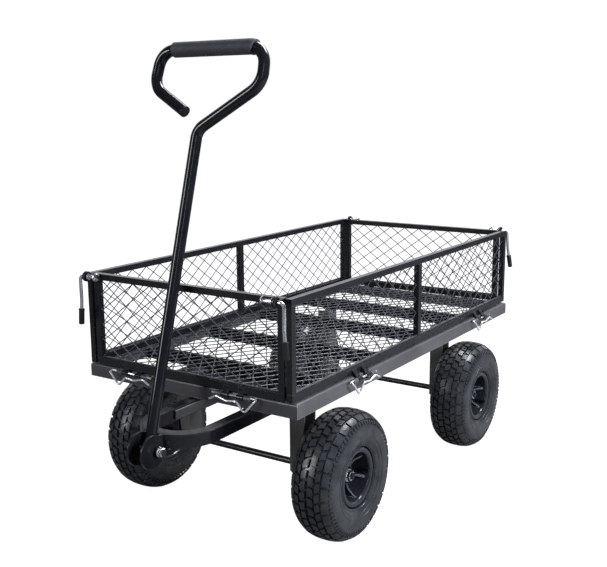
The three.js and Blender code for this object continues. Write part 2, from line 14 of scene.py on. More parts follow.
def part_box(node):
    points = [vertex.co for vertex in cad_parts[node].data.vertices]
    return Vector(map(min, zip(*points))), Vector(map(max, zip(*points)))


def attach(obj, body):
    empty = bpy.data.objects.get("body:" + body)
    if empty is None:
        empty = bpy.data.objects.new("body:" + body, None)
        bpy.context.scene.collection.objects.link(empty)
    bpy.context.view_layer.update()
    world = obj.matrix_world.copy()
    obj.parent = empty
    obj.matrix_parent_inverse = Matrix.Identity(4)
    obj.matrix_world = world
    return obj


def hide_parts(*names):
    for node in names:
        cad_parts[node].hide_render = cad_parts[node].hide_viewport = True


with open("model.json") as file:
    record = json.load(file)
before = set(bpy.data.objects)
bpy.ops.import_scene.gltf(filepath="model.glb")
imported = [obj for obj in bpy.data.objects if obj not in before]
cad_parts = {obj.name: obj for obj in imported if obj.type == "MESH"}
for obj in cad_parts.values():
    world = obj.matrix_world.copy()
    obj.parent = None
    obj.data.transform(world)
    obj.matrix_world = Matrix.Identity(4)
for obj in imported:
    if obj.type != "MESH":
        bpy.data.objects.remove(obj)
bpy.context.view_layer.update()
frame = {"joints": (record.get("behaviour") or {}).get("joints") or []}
random.seed(11)

MM = 0.001
SIDES = (("left", -1), ("right", 1))
ENDS = (("front", -1), ("rear", 1))
UP = Vector((0, 0, 1))


# ---- places taken from the frame ----


def joint_place(name):
    joint = next(j for j in frame["joints"] if j["name"] == name)
    return Vector(joint["pos_m"])


TRAY_LOW, TRAY_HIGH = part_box("tray_frame")
SIDE_LOW, SIDE_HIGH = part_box("side_panel_frame_right")
FLOOR_LOW, FLOOR_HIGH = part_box("floor_mesh")
HINGE_SIDE = joint_place("side_panel_right_fold")
HINGE_REAR = joint_place("rear_panel_fold")
HITCH = joint_place("handle_tilt")
STEER = joint_place("steering_turn")
MID_Y = (SIDE_LOW.y + SIDE_HIGH.y) / 2
HINGE_OUT = 6 * MM
TRAY_HALF_X = HINGE_SIDE.x - HINGE_OUT
TRAY_HALF_Y = HINGE_REAR.y - HINGE_OUT - MID_Y
TRAY_TOP = TRAY_HIGH.z
TRAY_BOTTOM = TRAY_LOW.z
HINGE_Z = HINGE_SIDE.z
PANEL_TOP = SIDE_HIGH.z
PANEL_BOTTOM = TRAY_TOP + 2.5 * MM
PANEL_HALF_Y = (SIDE_HIGH.y - SIDE_LOW.y) / 2
TUBE = 12.5 * MM
MIDDLE_POST = 14 * MM
BOTTOM_RAIL = 14 * MM
SIDE_FACE = TRAY_HALF_X - 7.3 * MM
END_HALF = 227 * MM
# Each row of hinges: where it is, its faces, and its places along them from the middle.
SIDE_HINGES = (-264 * MM, 309 * MM)
END_HINGES = (-132 * MM, 116 * MM)
HINGE_ROWS = (("side", SIDES, SIDE_HINGES), ("end", ENDS, END_HINGES))


# ---- mesh kit ----


class Shape:
    """Points and faces of one piece while it is put together."""

    def __init__(self):
        self.points = []
        self.faces = []

    def add(self, points, faces):
        start = len(self.points)
        self.points += [Vector(p) for p in points]
        self.faces += [[start + i for i in face] for face in faces]

    def moved(self, matrix):
        moved = Shape()
        moved.add([matrix @ p for p in self.points], self.faces)
        if matrix.determinant() < 0:
            moved.faces = [face[::-1] for face in moved.faces]
        return moved

    def join(self, other):
        self.add(other.points, other.faces)
        return self


def piece(name, shape, material, body, replaces=(), bevel=0, segments=2):
    """Makes the object of a shape and puts it on its body."""
    mesh = bpy.data.meshes.new(name)
    mesh.from_pydata(shape.points, [], shape.faces)
    mesh.validate()
    mesh.update()
    made = bpy.data.objects.new(name, mesh)
    bpy.context.scene.collection.objects.link(made)
    mesh.materials.append(material)
    for polygon in mesh.polygons:
        polygon.use_smooth = True
    mesh.set_sharp_from_angle(angle=math.radians(35))
    if bevel:
        edge = made.modifiers.new("edges", "BEVEL")
        edge.width = bevel
        edge.segments = segments
        edge.limit_method = "ANGLE"
        edge.angle_limit = math.radians(40)
        edge.harden_normals = True
    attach(made, body)
    if replaces:
        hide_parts(*replaces)
    return made


def mm(*points):
    """Points given in millimetres."""
    return [tuple(value * MM for value in point) for point in points]


def box(shape, low, high):
    """A box from its lowest to its highest corner."""
    (x0, y0, z0), (x1, y1, z1) = low, high
    points = [(x, y, z) for z in (z0, z1) for y in (y0, y1) for x in (x0, x1)]
    shape.add(points, [(0, 2, 3, 1), (4, 5, 7, 6), (0, 1, 5, 4), (2, 6, 7, 3), (0, 4, 6, 2), (1, 3, 7, 5)])
    return shape


def prism(shape, outline, low, high, axis):
    """An outline of 2-D points, anticlockwise, filled from low to high along an axis."""

    def place(p, h):
        a, b = p
        return {"x": (h, a, b), "y": (b, h, a), "z": (a, b, h)}[axis]

    count = len(outline)
    points = [place(p, low) for p in outline] + [place(p, high) for p in outline]
    faces = [tuple(reversed(range(count))), tuple(range(count, 2 * count))]
    faces += [(i, (i + 1) % count, (i + 1) % count + count, i + count) for i in range(count)]
    shape.add(points, faces)
    return shape


def arc(centre, radius, start, end, steps):
    """Points on an arc, angles in degrees."""
    angles = [math.radians(start + (end - start) * i / steps) for i in range(steps + 1)]
    return [(centre[0] + radius * math.cos(a), centre[1] + radius * math.sin(a)) for a in angles]


def lathe(shape, profile, segments, centre=(0, 0, 0), axis="x", closed=False):
    """Turns a profile of (radius, along) points about an axis through centre. An open profile is capped."""
    rings = []
    for radius, along in profile:
        ring = []
        for k in range(segments):
            angle = 2 * math.pi * k / segments
            a, b = radius * math.cos(angle), radius * math.sin(angle)
            ring.append({"x": (along, a, b), "y": (b, along, a), "z": (a, b, along)}[axis])
        rings.append(ring)
    points = [Vector(p) + Vector(centre) for ring in rings for p in ring]
    count = len(profile)
    faces = []
    for i in range(count if closed else count - 1):
        j = (i + 1) % count
        for k in range(segments):
            m = (k + 1) % segments
            faces.append((i * segments + k, i * segments + m, j * segments + m, j * segments + k))
    if not closed:
        faces.append(tuple(reversed(range(segments))))
        faces.append(tuple(range((count - 1) * segments, count * segments)))
    shape.add(points, faces)
    return shape


def sweep(shape, path, radius, sides=12, round_end=0):
    """A round bar along a path, with flat or rounded ends."""
    path = [Vector(p) for p in path]
    radii = [radius] * len(path)
    if round_end:
        first, last = path[0], path[-1]
        out_first = (first - path[1]).normalized() * round_end
        out_last = (last - path[-2]).normalized() * round_end
        path = [first + out_first, first + out_first * 0.7, *path, last + out_last * 0.7, last + out_last]
        radii = [radius * 0.45, radius * 0.85, *radii, radius * 0.85, radius * 0.45]
    tangents = []
    for i in range(len(path)):
        before, after = path[max(i - 1, 0)], path[min(i + 1, len(path) - 1)]
        tangents.append((after - before).normalized())
    side = tangents[0].orthogonal().normalized()
    points = []
    for i, centre in enumerate(path):
        side = (side - tangents[i] * side.dot(tangents[i])).normalized()
        other = tangents[i].cross(side)
        for k in range(sides):
            angle = 2 * math.pi * k / sides
            points.append(centre + (side * math.cos(angle) + other * math.sin(angle)) * radii[i])
    faces = []
    for i in range(len(path) - 1):
        for k in range(sides):
            m = (k + 1) % sides
            faces.append((i * sides + k, i * sides + m, (i + 1) * sides + m, (i + 1) * sides + k))
    faces.append(tuple(reversed(range(sides))))
    faces.append(tuple(range((len(path) - 1) * sides, len(path) * sides)))
    shape.add(points, faces)
    return shape


def bent(corners, steps=8):
    """A path of straight runs with round bends, from (point, bend radius) corners."""
    points = [Vector(p) for p, _ in corners]
    path = [points[0]]
    for i in range(1, len(points) - 1):
        here, bend = points[i], corners[i][1]
        back, on = (points[i - 1] - here).normalized(), (points[i + 1] - here).normalized()
        half = back.angle(on) / 2
        centre = here + (back + on).normalized() * (bend / math.sin(half))
        start = here + back * (bend / math.tan(half))
        end = here + on * (bend / math.tan(half))
        turn = math.pi - 2 * half
        a, b = (start - centre).normalized(), (end - centre).normalized()
        for k in range(steps + 1):
            t = k / steps
            share = math.sin((1 - t) * turn), math.sin(t * turn)
            path.append(centre + (a * share[0] + b * share[1]) * (bend / math.sin(turn)))
    path.append(points[-1])
    return path


def bent_mm(corners, steps=8):
    """A bent path whose points and bend radii are given in millimetres."""
    return bent([(Vector(point) * MM, bend * MM) for point, bend in corners], steps)


def first_length(path, length):
    """The first part of a path, cut at a length, in short steps."""
    made = [path[0]]
    left = length
    for here, after in zip(path, path[1:]):
        run = (after - here).length
        reach = min(run, left)
        steps = max(1, round(reach / (4 * MM)))
        made += [here.lerp(after, reach / run * (k + 1) / steps) for k in range(steps)]
        left -= reach
        if left <= 0:
            break
    return made


def hex_head(shape, centre, direction, across, height):
    """A hexagon head with a chamfered outer face, standing out along a unit X direction of +1 or -1."""
    radius = across / math.sqrt(3)
    shoulder = height * 0.82
    profile = [(radius, 0), (radius, direction * shoulder), (radius * 0.88, direction * height)]
    if direction < 0:
        profile.reverse()
    return lathe(shape, profile, 6, centre)


# ---- materials ----


def material(name, colour, roughness, metallic=0.0, specular=0.5, build=None):
    """A principled material. build adds the nodes that vary its colour, roughness and surface."""
    made = bpy.data.materials.new(name)
    made.use_nodes = True
    shader = made.node_tree.nodes["Principled BSDF"]
    shader.inputs["Base Color"].default_value = (*colour, 1)
    shader.inputs["Roughness"].default_value = roughness
    shader.inputs["Metallic"].default_value = metallic
    shader.inputs["Specular IOR Level"].default_value = specular
    if build:
        build(made.node_tree, shader)
    return made


def node(tree, kind, inputs):
    """A shader node. An input given as a socket is linked, and any other value is set."""
    made = tree.nodes.new(kind)
    for name, value in inputs.items():
        give(tree, made.inputs[name], value)
    return made


def give(tree, socket, value):
    if isinstance(value, bpy.types.NodeSocket):
        tree.links.new(value, socket)
    else:
        socket.default_value = value


def output(tree, kind, name):
    return tree.nodes.new(kind).outputs[name]


def noise(tree, scale, detail):
    """Noise over the object's own coordinates."""
    place = output(tree, "ShaderNodeTexCoord", "Object")
    inputs = {"Vector": place, "Scale": scale, "Detail": detail, "Roughness": 0.55}
    return node(tree, "ShaderNodeTexNoise", inputs).outputs["Fac"]


def ramp(tree, value, stops):
    """A colour ramp from two (position, colour) stops."""
    made = node(tree, "ShaderNodeValToRGB", {"Fac": value})
    for element, (position, colour) in zip(made.color_ramp.elements, stops):
        element.position = position
        element.color = (*colour, 1)
    return made.outputs["Color"]


def ranged(tree, value, start, end, low=0.0, high=1.0):
    """Maps the range from start to end to the range from low to high."""
    inputs = {"Value": value, "From Min": start, "From Max": end, "To Min": low, "To Max": high}
    return node(tree, "ShaderNodeMapRange", inputs).outputs["Result"]


def spread(tree, value, low, high):
    """Maps the useful middle of a noise to a range of numbers."""
    return ranged(tree, value, 0.3, 0.7, low, high)


def maths(tree, kind, operation, first, second):
    """The number that a Math or VectorMath node gives."""
    made = node(tree, kind, {0: first, 1: second})
    made.operation = operation
    return made.outputs["Value"]


def multiplied(tree, first, second):
    return maths(tree, "ShaderNodeMath", "MULTIPLY", first, second)


def dot_product(tree, first, second):
    return maths(tree, "ShaderNodeVectorMath", "DOT_PRODUCT", first, second)


def bump(tree, shader, height, strength, distance):
    made = node(tree, "ShaderNodeBump", {"Height": height, "Strength": strength, "Distance": distance})
    tree.links.new(made.outputs["Normal"], shader.inputs["Normal"])


def edge_highlight_mask(tree, radius):
    """About 1 on edges and corners and 0 on flat faces: how far a rounded normal leaves the true one. It
    masks the painted edge highlights.
    """
    rounded = node(tree, "ShaderNodeBevel", {"Radius": radius})
    rounded.samples = 4
    true = output(tree, "ShaderNodeNewGeometry", "Normal")
    return ranged(tree, dot_product(tree, rounded.outputs["Normal"], true), 0.995, 0.86)


def blend_colours(tree, factor, first, second):
    made = node(tree, "ShaderNodeMix", {"Factor": factor})
    made.data_type = "RGBA"
    for name, value in (("A", first), ("B", second)):
        socket = next(s for s in made.inputs if s.name == name and s.type == "RGBA")
        give(tree, socket, (*value, 1) if isinstance(value, tuple) else value)
    return next(s for s in made.outputs if s.type == "RGBA")


def dress(tree, shader, tone, patches, gloss, grain, relief):
    """Gives a shader its tone, a roughness that varies in patches, and a fine relief."""
    tree.links.new(tone, shader.inputs["Base Color"])
    tree.links.new(spread(tree, noise(tree, *patches), *gloss), shader.inputs["Roughness"])
    bump(tree, shader, noise(tree, *grain), *relief)


def powder_coat(name, base, gloss, specular, dark, light, edge_highlight_tone, edge=1.6 * MM):
    """Sprayed paint: fine orange peel, cloudy tone, and thin pale edges painted on as highlights."""

    def build(tree, shader):
        tone = ramp(tree, noise(tree, 14, 4), [(0.3, dark), (0.72, light)])
        # Painted highlight: edges lightened in patches towards the pale edge tone.
        painted_highlight = multiplied(tree, edge_highlight_mask(tree, edge), spread(tree, noise(tree, 40, 5), 0.15, 0.9))
        tone = blend_colours(tree, painted_highlight, tone, edge_highlight_tone)
        dress(tree, shader, tone, (45, 4), (gloss - 0.05, gloss + 0.07), (500, 1), (0.05, 0.12 * MM))

    return material(name, base, gloss, specular=specular, build=build)


def gloss_coat(tree, shader):
    """Wet-looking black paint: even tone, fine orange peel, faint handling marks."""
    tone = ramp(tree, noise(tree, 10, 4), [(0.3, BLACK), (0.75, SOOT)])
    dress(tree, shader, tone, (30, 4), (0.06, 0.17), (420, 1), (0.05, 0.1 * MM))


def plated(tree, shader):
    """Bright zinc: faint cloudy patches."""
    tone = ramp(tree, noise(tree, 40, 3), [(0.3, (0.74, 0.76, 0.79)), (0.7, (0.88, 0.89, 0.91))])
    dress(tree, shader, tone, (60, 3), (0.16, 0.27), (600, 1), (0.05, 0.05 * MM))


def moulded(name, base, roughness, specular, dark, light, gloss, grain, depth):
    """Rubber, plastic or foam: dusty tone, rough grain."""

    def build(tree, shader):
        tone = ramp(tree, noise(tree, 30, 5), [(0.3, dark), (0.75, light)])
        dress(tree, shader, tone, (80, 4), gloss, (grain, 4), (0.5, depth * MM))

    return material(name, base, roughness, specular=specular, build=build)


BLACK = (0.004, 0.0044, 0.006)
SOOT = (0.008, 0.0086, 0.012)
CHARCOAL = (0.016, 0.017, 0.021)
ASH = (0.05, 0.051, 0.055)
GREY = (0.13, 0.14, 0.16)
ZINC_TONE = (0.82, 0.83, 0.86)

# Tones: dark and light patches and, for a paint, the pale tone of its painted edge highlights.
TRAY_TONES = ((0.042, 0.042, 0.046), (0.064, 0.065, 0.071), (0.34, 0.35, 0.38))
GEAR_TONES = ((0.0035, 0.0038, 0.005), (0.009, 0.0095, 0.012), ASH)
# Legs: a grey like the tray's, made lighter still as painted light for front faces that the lamps barely
# reach.
LIGHTENED_LEG_TONES = ((0.078, 0.074, 0.072), (0.13, 0.125, 0.122), GREY)
# Panel wires: the frame's black made lighter as painted light on the strands that the side lamp catches.
LIGHTENED_WIRE_TONES = ((0.016, 0.017, 0.021), (0.036, 0.038, 0.045), (0.1, 0.105, 0.115))
FLOOR_TONES = ((0.006, 0.007, 0.009), (0.015, 0.016, 0.019), GREY)
RIM_TONES = ((0.008, 0.009, 0.012), (0.017, 0.019, 0.025), (0.19, 0.21, 0.245))
RUBBER_TONES = ((0.009, 0.0105, 0.013), (0.03, 0.0325, 0.038))
PLASTIC_TONES = ((0.006, 0.006, 0.008), (0.012, 0.012, 0.014))
SLEEVE_TONES = ((0.007, 0.007, 0.008), (0.014, 0.014, 0.016))
FOAM_TONES = ((0.036, 0.039, 0.05), (0.054, 0.057, 0.07))

TRAY_PAINT = powder_coat("tray_paint", CHARCOAL, 0.36, 0.5, *TRAY_TONES, 2.2 * MM)
BAR_PAINT = powder_coat("bar_paint", BLACK, 0.5, 0.1, BLACK, SOOT, GREY)
PANEL_PAINT = powder_coat("panel_paint", BLACK, 0.26, 0.4, BLACK, SOOT, ASH, 1 * MM)
HANDLE_PAINT = material("handle_paint", BLACK, 0.09, specular=0.35, build=gloss_coat)
GEAR_PAINT = powder_coat("gear_paint", BLACK, 0.16, 0.35, *GEAR_TONES)
LIGHTENED_LEG_PAINT = powder_coat("leg_paint_lightened", CHARCOAL, 0.4, 0.4, *LIGHTENED_LEG_TONES)
LIGHTENED_WIRE_PAINT = powder_coat("wire_paint_lightened", CHARCOAL, 0.3, 0.5, *LIGHTENED_WIRE_TONES)
FLOOR_PAINT = powder_coat("floor_paint", CHARCOAL, 0.26, 0.22, *FLOOR_TONES)
ZINC = material("zinc", ZINC_TONE, 0.22, metallic=1.0, build=plated)
CLIP_ZINC = material("clip_zinc", ZINC_TONE, 0.22, metallic=0.72, build=plated)
TYRE_RUBBER = moulded("tyre_rubber", (0.014, 0.014, 0.015), 0.42, 0.6, *RUBBER_TONES, (0.2, 0.44), 500, 0.1)
# A wide pale edge tone: painted highlights on the rim's lip and ribs.
RIM_PAINT = powder_coat("rim_paint", BLACK, 0.2, 0.65, *RIM_TONES, 4 * MM)
PLASTIC = moulded("black_plastic", BLACK, 0.5, 0.3, *PLASTIC_TONES, (0.4, 0.55), 1200, 0.05)
SLEEVE = moulded("latch_sleeve", BLACK, 0.55, 0.4, *SLEEVE_TONES, (0.42, 0.58), 900, 0.06)
FOAM = moulded("grip_foam", BLACK, 0.7, 0.4, *FOAM_TONES, (0.55, 0.72), 1800, 0.06)


# ---- tray ----


def frame_ring(shape, profile, half_x, half_y):
    """Sweeps a closed profile of (inward, z) points round a rectangle with mitred corners."""
    corners = ((-1, -1), (1, -1), (1, 1), (-1, 1))
    points = []
    for inward, z in profile:
        points += [(sx * (half_x - inward), MID_Y + sy * (half_y - inward), z) for sx, sy in corners]
    count = len(profile)
    faces = []
    for i in range(count):
        j = (i + 1) % count
        for k in range(4):
            m = (k + 1) % 4
            faces.append((4 * i + k, 4 * i + m, 4 * j + m, 4 * j + k))
    shape.add(points, faces)
    return shape


def hinge_frame(where, sign, along):
    """The matrix that takes (out, along, up) about a hinge to its place on a side or an end."""
    if where == "side":
        axes = Matrix(((sign, 0, 0), (0, 1, 0), (0, 0, 1)))
        place = Vector((sign * HINGE_SIDE.x, MID_Y + along, HINGE_Z))
    else:
        axes = Matrix(((0, 1, 0), (sign, 0, 0), (0, 0, 1)))
        place = Vector((along, MID_Y + sign * (TRAY_HALF_Y + HINGE_OUT), HINGE_Z))
    return Matrix.Translation(place) @ axes.to_4x4()


BARREL = 4.9 * MM
BORE = 2.3 * MM
TRAY_BARRELS = ((-40 * MM, -26 * MM), (26 * MM, 40 * MM))
PANEL_BARRELS = ((-24.5 * MM, -9 * MM), (9 * MM, 24.5 * MM))


def ring_profile(bore, radius, low, high, chamfer):
    """The outline of a ring with chamfered outer edges."""
    land = radius - chamfer
    first = [(bore, low), (land, low), (radius, low + chamfer)]
    return first + [(radius, high - chamfer), (land, high), (bore, high)]


def barrel(shape, start, end):
    """A rolled hinge barrel along Y about the origin."""
    return lathe(shape, ring_profile(BORE, BARREL, start, end, 0.6 * MM), 20, axis="y", closed=True)


def tray_hinge():
    """The two outer barrels of a hinge, on lugs that reach in to the rail."""
    made = Shape()
    reach, half = HINGE_OUT + 1 * MM, 3.5 * MM
    for start, end in TRAY_BARRELS:
        barrel(made, start, end)
        box(made, (-reach, start + 1 * MM, -half), (-3 * MM, end - 1 * MM, half))
    return made


def panel_hinge(inset):
    """The two inner barrels, on ears that reach in by inset to the panel's bottom tube."""
    made = Shape()
    foot = PANEL_BOTTOM - HINGE_Z + 1 * MM
    head = foot + 9 * MM
    back = inset + 0.4 * MM
    outline = mm((-4.6, 1), (-2.0, 4.2))
    outline += [(-inset + 0.4 * MM, head), (-back, head), (-back, foot), (-4.6 * MM, foot)]
    turned = [(z, x) for x, z in outline]
    for start, end in PANEL_BARRELS:
        barrel(made, start, end)
        prism(made, turned, start + 1 * MM, end - 1 * MM, "y")
    return made


def tray():
    """Four rails of angle with a rolled outer edge, mitred at the corners, and their hinge barrels."""
    wall, flange, roll = 2.5 * MM, 22 * MM, 5.5 * MM
    profile = [
        (0, TRAY_BOTTOM),
        (wall, TRAY_BOTTOM),
        (wall, TRAY_TOP - roll),
        (roll, TRAY_TOP - wall),
        (flange, TRAY_TOP - wall),
        (flange, TRAY_TOP),
        *arc((roll, TRAY_TOP - roll), roll, 90, 180, 5),
    ]
    made = frame_ring(Shape(), profile, TRAY_HALF_X, TRAY_HALF_Y)
    for where, faces, stations in HINGE_ROWS:
        for _, sign in faces:
            for along in stations:
                made.join(tray_hinge().moved(hinge_frame(where, sign, along)))
    cad = ["tray_frame"]
    piece("tray_rails", made, TRAY_PAINT, "chassis", cad, bevel=1.2 * MM, segments=3)


def cross_bars():
    """Flat bars with stepped ends that lie under the rails' flanges."""
    half = TRAY_HALF_X - 3 * MM
    inner = TRAY_HALF_X - 22.5 * MM
    side, drop = 0.4 * MM, 3 * MM
    for i in range(1, 5):
        low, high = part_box(f"cross_bar_{i}")
        made = Shape()
        box(made, (-inner, low.y, low.z), (inner, high.y, high.z))
        for _, sign in SIDES:
            start, end = sorted((sign * (inner - 4 * MM), sign * half))
            box(made, (start, low.y + side, low.z + side), (end, high.y - side, high.z - drop))
        cad = [f"cross_bar_{i}"]
        piece(f"floor_bar_{i}", made, BAR_PAINT, "chassis", cad, bevel=1.2 * MM)


def clipped(p, q, low, high):
    """The part of the line p..q inside a rectangle, or None."""
    t0, t1 = 0.0, 1.0
    for a in (0, 1):
        step = q[a] - p[a]
        near, far = (low[a] - p[a]) / step, (high[a] - p[a]) / step
        t0, t1 = max(t0, min(near, far)), min(t1, max(near, far))
    if t1 - t0 < 0.02:
        return None
    return tuple(tuple(p[a] + (q[a] - p[a]) * t for a in (0, 1)) for t in (t0, t1))


def wire_mesh(low, high, cell, origin, depth, wire):
    """Round wires in two layers, straight from edge to edge, with a drop of weld where they cross."""
    made = Shape()
    half_w, half_h = cell[0] / 2, cell[1] / 2
    slope = half_h / half_w
    reach = int((high[0] - low[0]) / cell[0] + (high[1] - low[1]) / cell[1]) + 2
    for rise in (-1, 1):
        layer = depth + rise * wire * 0.75
        for k in range(-reach, reach + 1):
            at = origin[0] + k * cell[0]
            p = (at - 1.0, origin[1] - rise * slope)
            q = (at + 1.0, origin[1] + rise * slope)
            ends = clipped(p, q, low, high)
            if ends:
                sweep(made, [(a, layer, b) for a, b in ends], wire, 6)
    drop = ((0.45, -1.4), (1.2, -0.7), (1.2, 0.7), (0.45, 1.4))
    drop = [(radius * wire, along * wire) for radius, along in drop]
    columns = int((high[0] - low[0]) / half_w) + 2
    rows = int((high[1] - low[1]) / half_h) + 2
    for i in range(-columns, columns + 1):
        for j in range(-rows, rows + 1):
            a, b = origin[0] + i * half_w, origin[1] + j * half_h
            if (i + j) % 2 == 0 and low[0] < a < high[0] and low[1] < b < high[1]:
                lathe(made, drop, 6, (a, depth, b), axis="y")
    return made


FLOOR_CELL = (32.5 * MM, 45 * MM)
FLOOR_WIRE = 1.1 * MM


def floor():
    """Welded diamond mesh on the bars, inside a flat edge strip."""
    edge = 5 * MM
    low = (FLOOR_LOW.x + edge, FLOOR_LOW.y + edge)
    high = (FLOOR_HIGH.x - edge, FLOOR_HIGH.y - edge)
    centre = ((low[0] + high[0]) / 2, (low[1] + high[1]) / 2)
    flat = Matrix(((1, 0, 0), (0, 0, 1), (0, 1, 0))).to_4x4()
    made = wire_mesh(low, high, FLOOR_CELL, centre, FLOOR_LOW.z + 1.75 * FLOOR_WIRE, FLOOR_WIRE).moved(flat)
    for x0, x1 in ((FLOOR_LOW.x, low[0]), (high[0], FLOOR_HIGH.x)):
        box(made, (x0, FLOOR_LOW.y, FLOOR_LOW.z), (x1, FLOOR_HIGH.y, FLOOR_HIGH.z))
    for y0, y1 in ((FLOOR_LOW.y, low[1]), (high[1], FLOOR_HIGH.y)):
        box(made, (low[0], y0, FLOOR_LOW.z), (high[0], y1, FLOOR_HIGH.z))
    piece("floor_wire_mesh", made, FLOOR_PAINT, "chassis", ["floor_mesh"])


# ---- panels ----

PANEL_CELL = (42.5 * MM, 30.6 * MM)
PANEL_CROSSING_Z = 463.1 * MM
WIRE = 1.0 * MM
BORDER_WIRE = 1.7 * MM


def panel_frame(half, posts):
    """A panel's frame drawn in (along, depth, z), outer face at depth 0, tube towards +depth."""
    made = Shape()
    for low, high in ((PANEL_BOTTOM, PANEL_BOTTOM + BOTTOM_RAIL), (PANEL_TOP - TUBE, PANEL_TOP)):
        box(made, (-half, 0, low), (half, TUBE, high))
    inset = 0.15 * MM
    for at in posts:
        wide = TUBE if at else MIDDLE_POST
        low, high = PANEL_BOTTOM + BOTTOM_RAIL, PANEL_TOP - TUBE
        box(made, (at - wide / 2, inset, low), (at + wide / 2, TUBE - inset, high))
        weld(made, at, wide, low, 1)
        weld(made, at, wide, high, -1)
    return made


def weld(shape, at, wide, z, rise):
    """A low bead of weld on the outer face where a post meets a rail."""
    steps = 9
    for k in range(steps):
        x = at + wide * (k / (steps - 1) - 0.5) * 0.94
        size = (0.95 + 0.25 * random.random()) * MM
        profile = [(size * 0.5, -size * 0.5), (size, 0), (size * 0.5, size * 0.5)]
        lathe(shape, profile, 6, (x, 0.2 * MM, z - rise * 0.2 * MM), axis="y")


def panel_wires(low_along, high_along):
    """The mesh between two posts, drawn like the frame, with a thicker wire along its bottom edge."""
    into_tube = 1 * MM
    low = (low_along - into_tube, PANEL_BOTTOM + BOTTOM_RAIL - into_tube)
    high = (high_along + into_tube, PANEL_TOP - TUBE + into_tube)
    origin = ((low[0] + high[0]) / 2, PANEL_CROSSING_Z)
    made = wire_mesh(low, high, PANEL_CELL, origin, TUBE / 2, WIRE)
    z = PANEL_BOTTOM + BOTTOM_RAIL + BORDER_WIRE * 0.8
    depth = TUBE / 2 - WIRE - BORDER_WIRE
    sweep(made, [(low_along + 1 * MM, depth, z), (high_along - 1 * MM, depth, z)], BORDER_WIRE, 10)
    return made


def side_place(sign):
    """Takes (along, depth, z) of a panel to the left or right side."""
    axes = Matrix(((0, -sign, 0), (1, 0, 0), (0, 0, 1)))
    return Matrix.Translation((sign * SIDE_FACE, MID_Y, 0)) @ axes.to_4x4()


def end_place(sign):
    axes = Matrix(((1, 0, 0), (0, -sign, 0), (0, 0, 1)))
    return Matrix.Translation((0, MID_Y + sign * PANEL_HALF_Y, 0)) @ axes.to_4x4()


def tubes(name, shape, body, cad):
    piece(name, shape, PANEL_PAINT, body, [cad], bevel=1.3 * MM, segments=3)


def side_panels():
    post = PANEL_HALF_Y - TUBE / 2
    ear = panel_hinge(HINGE_SIDE.x - SIDE_FACE)
    for side, sign in SIDES:
        body = f"side_panel_{side}"
        made = panel_frame(PANEL_HALF_Y, (-post, 0, post)).moved(side_place(sign))
        for along in SIDE_HINGES:
            made.join(ear.moved(hinge_frame("side", sign, along)))
        tubes(f"side_panel_tubes_{side}", made, body, f"side_panel_frame_{side}")
        for end, way in ENDS:
            near, far = sorted((way * MIDDLE_POST / 2, way * (PANEL_HALF_Y - TUBE)))
            wires = panel_wires(near, far).moved(side_place(sign))
            cad = [f"side_panel_mesh_{side}_{end}"]
            piece(f"side_panel_wires_{side}_{end}", wires, LIGHTENED_WIRE_PAINT, body, cad)


def end_panels():
    post = END_HALF - TUBE / 2
    ear = panel_hinge(TRAY_HALF_Y + HINGE_OUT - PANEL_HALF_Y)
    for end, sign in ENDS:
        body = "chassis" if end == "front" else "rear_panel"
        made = panel_frame(END_HALF, (-post, post)).moved(end_place(sign))
        for along in END_HINGES:
            made.join(ear.moved(hinge_frame("end", sign, along)))
        for side, _ in SIDES:
            made.join(latch_eye(end, side))
        tubes(f"{end}_panel_tubes", made, body, f"{end}_panel_frame")
        wires = panel_wires(TUBE - END_HALF, END_HALF - TUBE).moved(end_place(sign))
        piece(f"{end}_panel_wires", wires, LIGHTENED_WIRE_PAINT, body, [f"{end}_panel_mesh"])


# ---- latches and hinge clips ----


EYE_FROM, EYE_TO = 222 * MM, 228 * MM
EYE_RADIUS = 10.3 * MM
EYE_HOLE = 4.2 * MM
REAR_FLARE = 0.24


def latch_place(end, side):
    """The latch's axis point and its mirror signs, across and out."""
    return joint_place(f"latch_{end}_{side}_swing"), dict(SIDES)[side], dict(ENDS)[end]


def latch_eye(end, side):
    """The welded plate with a round eye that the latch rod turns in."""
    place, across, out = latch_place(end, side)
    made = Shape()
    low, high = sorted((across * EYE_FROM, across * EYE_TO))
    profile = ring_profile(EYE_HOLE, EYE_RADIUS, low, high, 1 * MM)
    lathe(made, profile, 28, (0, place.y, place.z), closed=True)
    face = MID_Y + out * (PANEL_HALF_Y - 1 * MM)
    near, far = sorted((face, place.y - out * 6 * MM))
    inset = 0.6 * MM
    bottom, top = place.z - 8.5 * MM, place.z + 2.4 * MM
    box(made, (low + inset, near, bottom), (high - inset, far, top))
    return made


def latches():
    rod, sleeve = latch_rod(), latch_sleeve()
    for end, _ in ENDS:
        for side, _ in SIDES:
            place, across, out = latch_place(end, side)
            flare = REAR_FLARE * out if end == "rear" else 0.0
            turned = Matrix.Rotation(flare, 4, "X") @ Matrix.Diagonal((across, 1, 1, 1))
            to_place = Matrix.Translation((0, place.y, place.z)) @ turned
            body = f"latch_{end}_{side}"
            cad = [f"latch_rod_{end}_{side}"]
            piece(f"latch_lever_{end}_{side}", rod.moved(to_place), ZINC, body, cad)
            cad = [f"latch_sleeve_{end}_{side}"]
            piece(f"latch_grip_{end}_{side}", sleeve.moved(to_place), SLEEVE, body, cad)


# The lever's line from behind the eye to its tip, as (point, bend radius) in millimetres.
LEVER_LINE = (((200, 0, 0), 0), ((243, 0, 0), 9), ((242.4, 0, -46), 60), ((246.2, 0, -97), 0))


